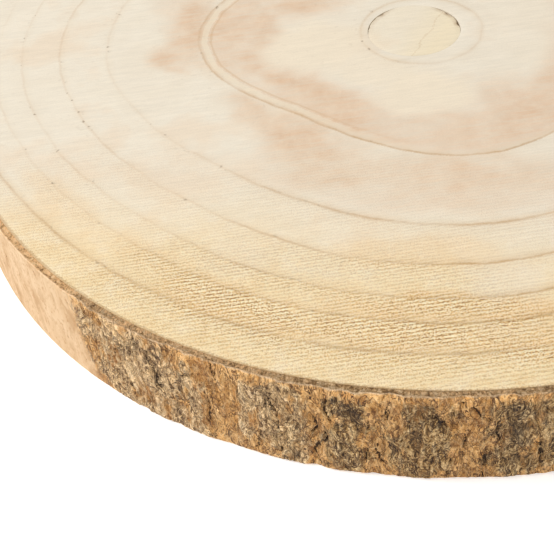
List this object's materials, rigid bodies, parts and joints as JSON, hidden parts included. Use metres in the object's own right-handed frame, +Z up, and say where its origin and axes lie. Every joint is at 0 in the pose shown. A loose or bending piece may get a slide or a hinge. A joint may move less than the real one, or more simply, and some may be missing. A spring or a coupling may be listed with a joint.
{
  "type": "log slice",
  "caption": "Flat round slice sawn across a pale log, with growth rings on its faces, its bark left on the edge and a plug in the pith.",
  "frame": {"origin": "under the middle of the slice's footprint, on the plane it lies on", "axes": "+Z up through the slice's thickness, along the trunk; +X to the right and +Y to the back, as pictured"},
  "size_m": [0.3038, 0.3012, 0.031],
  "materials": {
    "wood": "rough sawn, pale cream with tan growth rings",
    "bark": "rough, orange-tan cork with grey plates and dark cracks",
    "plug": "smooth sawn, pale cream"
  },
  "bodies": {
    "root": {"wood_disc": "wood", "bark": "bark", "pith_plug": "plug"}
  },
  "joints": []
}
